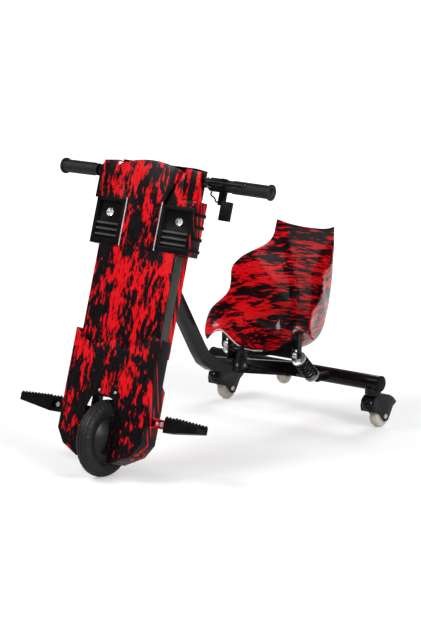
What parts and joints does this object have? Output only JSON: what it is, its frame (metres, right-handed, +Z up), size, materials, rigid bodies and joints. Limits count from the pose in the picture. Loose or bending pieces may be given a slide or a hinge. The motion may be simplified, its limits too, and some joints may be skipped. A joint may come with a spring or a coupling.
{
  "type": "drift trike",
  "caption": "Low electric drift trike: wide raked steering column over a driven front wheel, folding foot pegs, bent main tube, sprung bucket seat and rear casters.",
  "frame": {"origin": "centre of the footprint, on the ground", "axes": "+X to the rider's left, -Y to the front, +Z up"},
  "size_m": [0.6838, 1.0016, 0.7925],
  "materials": {
    "streaked": "gloss, red and black streaks",
    "black_gloss": "gloss black paint",
    "black_plastic": "satin black",
    "tyre": "black rubber",
    "grip": "ribbed black rubber",
    "grey_paint": "satin grey",
    "steel": "bright zinc plate",
    "aluminium": "satin",
    "lens": "clear",
    "translucent": "cream, slightly translucent",
    "wrap": "heat-shrink wrap"
  },
  "bodies": {
    "frame": {"main_tube": "black_gloss", "cross_tube": "black_gloss", "bush_lower": "steel", "bush_upper": "steel", "seat_mount": "black_gloss", "end_cap_left": "black_plastic", "end_cap_right": "black_plastic"},
    "steering": {"fork": "black_gloss", "steering_spine": "black_gloss", "steering_yoke": "black_gloss", "kingpin": "steel", "front_axle": "steel", "column_front_cover": "streaked", "column_rear_cover": "streaked", "wheel_shroud": "streaked", "centre_panel": "streaked", "dash_housing": "black_plastic", "battery_pack": "wrap", "motor_controller": "aluminium", "handlebar": "black_gloss", "bar_clamp": "aluminium", "throttle_body": "black_plastic", "brake_perch": "black_gloss", "throttle_cable": "black_plastic", "switch_box": "black_plastic", "side_strip_left": "grey_paint", "side_strip_right": "grey_paint", "light_pod_left": "black_plastic", "light_pod_right": "black_plastic", "shoulder_panel_left": "streaked", "shoulder_panel_right": "streaked", "lamp_lens_left": "lens", "lamp_lens_right": "lens", "grip_left": "grip", "grip_right": "grip", "peg_bracket_left": "streaked", "peg_bracket_right": "streaked"},
    "front_wheel": {"front_tyre": "tyre", "hub_motor": "black_gloss"},
    "brake_lever": {"brake_lever": "black_gloss"},
    "throttle_paddle": {"throttle_paddle": "black_plastic"},
    "seat": {"seat_shell": "streaked", "seat_underframe": "black_gloss"},
    "belly_roller": {"belly_roller": "translucent"},
    "peg_left": {"peg_left": "black_plastic"},
    "shock_lower_left": {"shock_body_left": "steel", "shock_spring_left": "black_gloss"},
    "shock_upper_left": {"shock_rod_left": "steel"},
    "caster_left": {"caster_hood_left": "black_plastic"},
    "caster_wheel_left": {"caster_wheel_left": "translucent"},
    "peg_right": {"peg_right": "black_plastic"},
    "shock_lower_right": {"shock_body_right": "steel", "shock_spring_right": "black_gloss"},
    "shock_upper_right": {"shock_rod_right": "steel"},
    "caster_right": {"caster_hood_right": "black_plastic"},
    "caster_wheel_right": {"caster_wheel_right": "translucent"}
  },
  "joints": [
    {"name": "steer", "type": "hinge", "parent": "frame", "child": "steering", "pos_m": [0, -0.18366, 0.53051], "axis": [0, 0.3007, 0.9537], "range_deg": [-50, 50]},
    {"name": "front_wheel_spin", "type": "hinge", "parent": "steering", "child": "front_wheel", "pos_m": [0, -0.40119, 0.1], "axis": [1, 0, 0], "continuous": true},
    {"name": "brake_pull", "type": "hinge", "parent": "steering", "child": "brake_lever", "pos_m": [0.1776, -0.20205, 0.75336], "axis": [0, 0.3007, 0.9537], "range_deg": [0, 10], "stiffness_Nm_per_rad": 1.5, "springref_deg": -5.73},
    {"name": "throttle_push", "type": "hinge", "parent": "steering", "child": "throttle_paddle", "pos_m": [0.148, -0.16434, 0.74147], "axis": [-0.9961, -0.0841, 0.0265], "range_deg": [0, 25], "stiffness_Nm_per_rad": 0.3, "springref_deg": -8.59},
    {"name": "peg_left_fold", "type": "hinge", "parent": "steering", "child": "peg_left", "pos_m": [0.172, -0.3711, 0.15552], "axis": [0, -0.9537, 0.3007], "range_deg": [0, 90]},
    {"name": "peg_right_fold", "type": "hinge", "parent": "steering", "child": "peg_right", "pos_m": [-0.172, -0.3711, 0.15552], "axis": [0, 0.9537, -0.3007], "range_deg": [0, 90]},
    {"name": "seat_pitch", "type": "hinge", "parent": "frame", "child": "seat", "pos_m": [0, 0.14881, 0.232], "axis": [-1, 0, 0], "range_deg": [0, 6], "stiffness_Nm_per_rad": 900, "springref_deg": -1.15},
    {"name": "belly_roller_spin", "type": "hinge", "parent": "frame", "child": "belly_roller", "pos_m": [0, 0.36681, 0.125], "axis": [1, 0, 0], "continuous": true},
    {"name": "shock_swing_left", "type": "hinge", "parent": "frame", "child": "shock_lower_left", "pos_m": [0.117, 0.34481, 0.134], "axis": [1, 0, 0], "range_deg": [0, 5.7]},
    {"name": "shock_slide_left", "type": "slide", "parent": "shock_lower_left", "child": "shock_upper_left", "axis": [0, -0.7287, 0.6848], "range_m": [-0.0053, 0], "deforming": ["shock_spring_left"]},
    {"name": "caster_swivel_left", "type": "hinge", "parent": "frame", "child": "caster_left", "pos_m": [0.262, 0.41681, 0.096], "axis": [0, 0, 1], "continuous": true},
    {"name": "caster_wheel_spin_left", "type": "hinge", "parent": "caster_left", "child": "caster_wheel_left", "pos_m": [0.262, 0.44681, 0.032], "axis": [1, 0, 0], "continuous": true},
    {"name": "shock_swing_right", "type": "hinge", "parent": "frame", "child": "shock_lower_right", "pos_m": [-0.117, 0.34481, 0.134], "axis": [1, 0, 0], "range_deg": [0, 5.7]},
    {"name": "shock_slide_right", "type": "slide", "parent": "shock_lower_right", "child": "shock_upper_right", "axis": [0, -0.7287, 0.6848], "range_m": [-0.0053, 0], "deforming": ["shock_spring_right"]},
    {"name": "caster_swivel_right", "type": "hinge", "parent": "frame", "child": "caster_right", "pos_m": [-0.262, 0.41681, 0.096], "axis": [0, 0, 1], "continuous": true},
    {"name": "caster_wheel_spin_right", "type": "hinge", "parent": "caster_right", "child": "caster_wheel_right", "pos_m": [-0.262, 0.44681, 0.032], "axis": [1, 0, 0], "continuous": true}
  ],
  "couplings": [
    {"joint": "shock_swing_left", "follows": "seat_pitch", "ratio": 0.936},
    {"joint": "shock_slide_left", "follows": "seat_pitch", "m_per_rad": -0.0493},
    {"joint": "shock_swing_right", "follows": "seat_pitch", "ratio": 0.936},
    {"joint": "shock_slide_right", "follows": "seat_pitch", "m_per_rad": -0.0493}
  ]
}
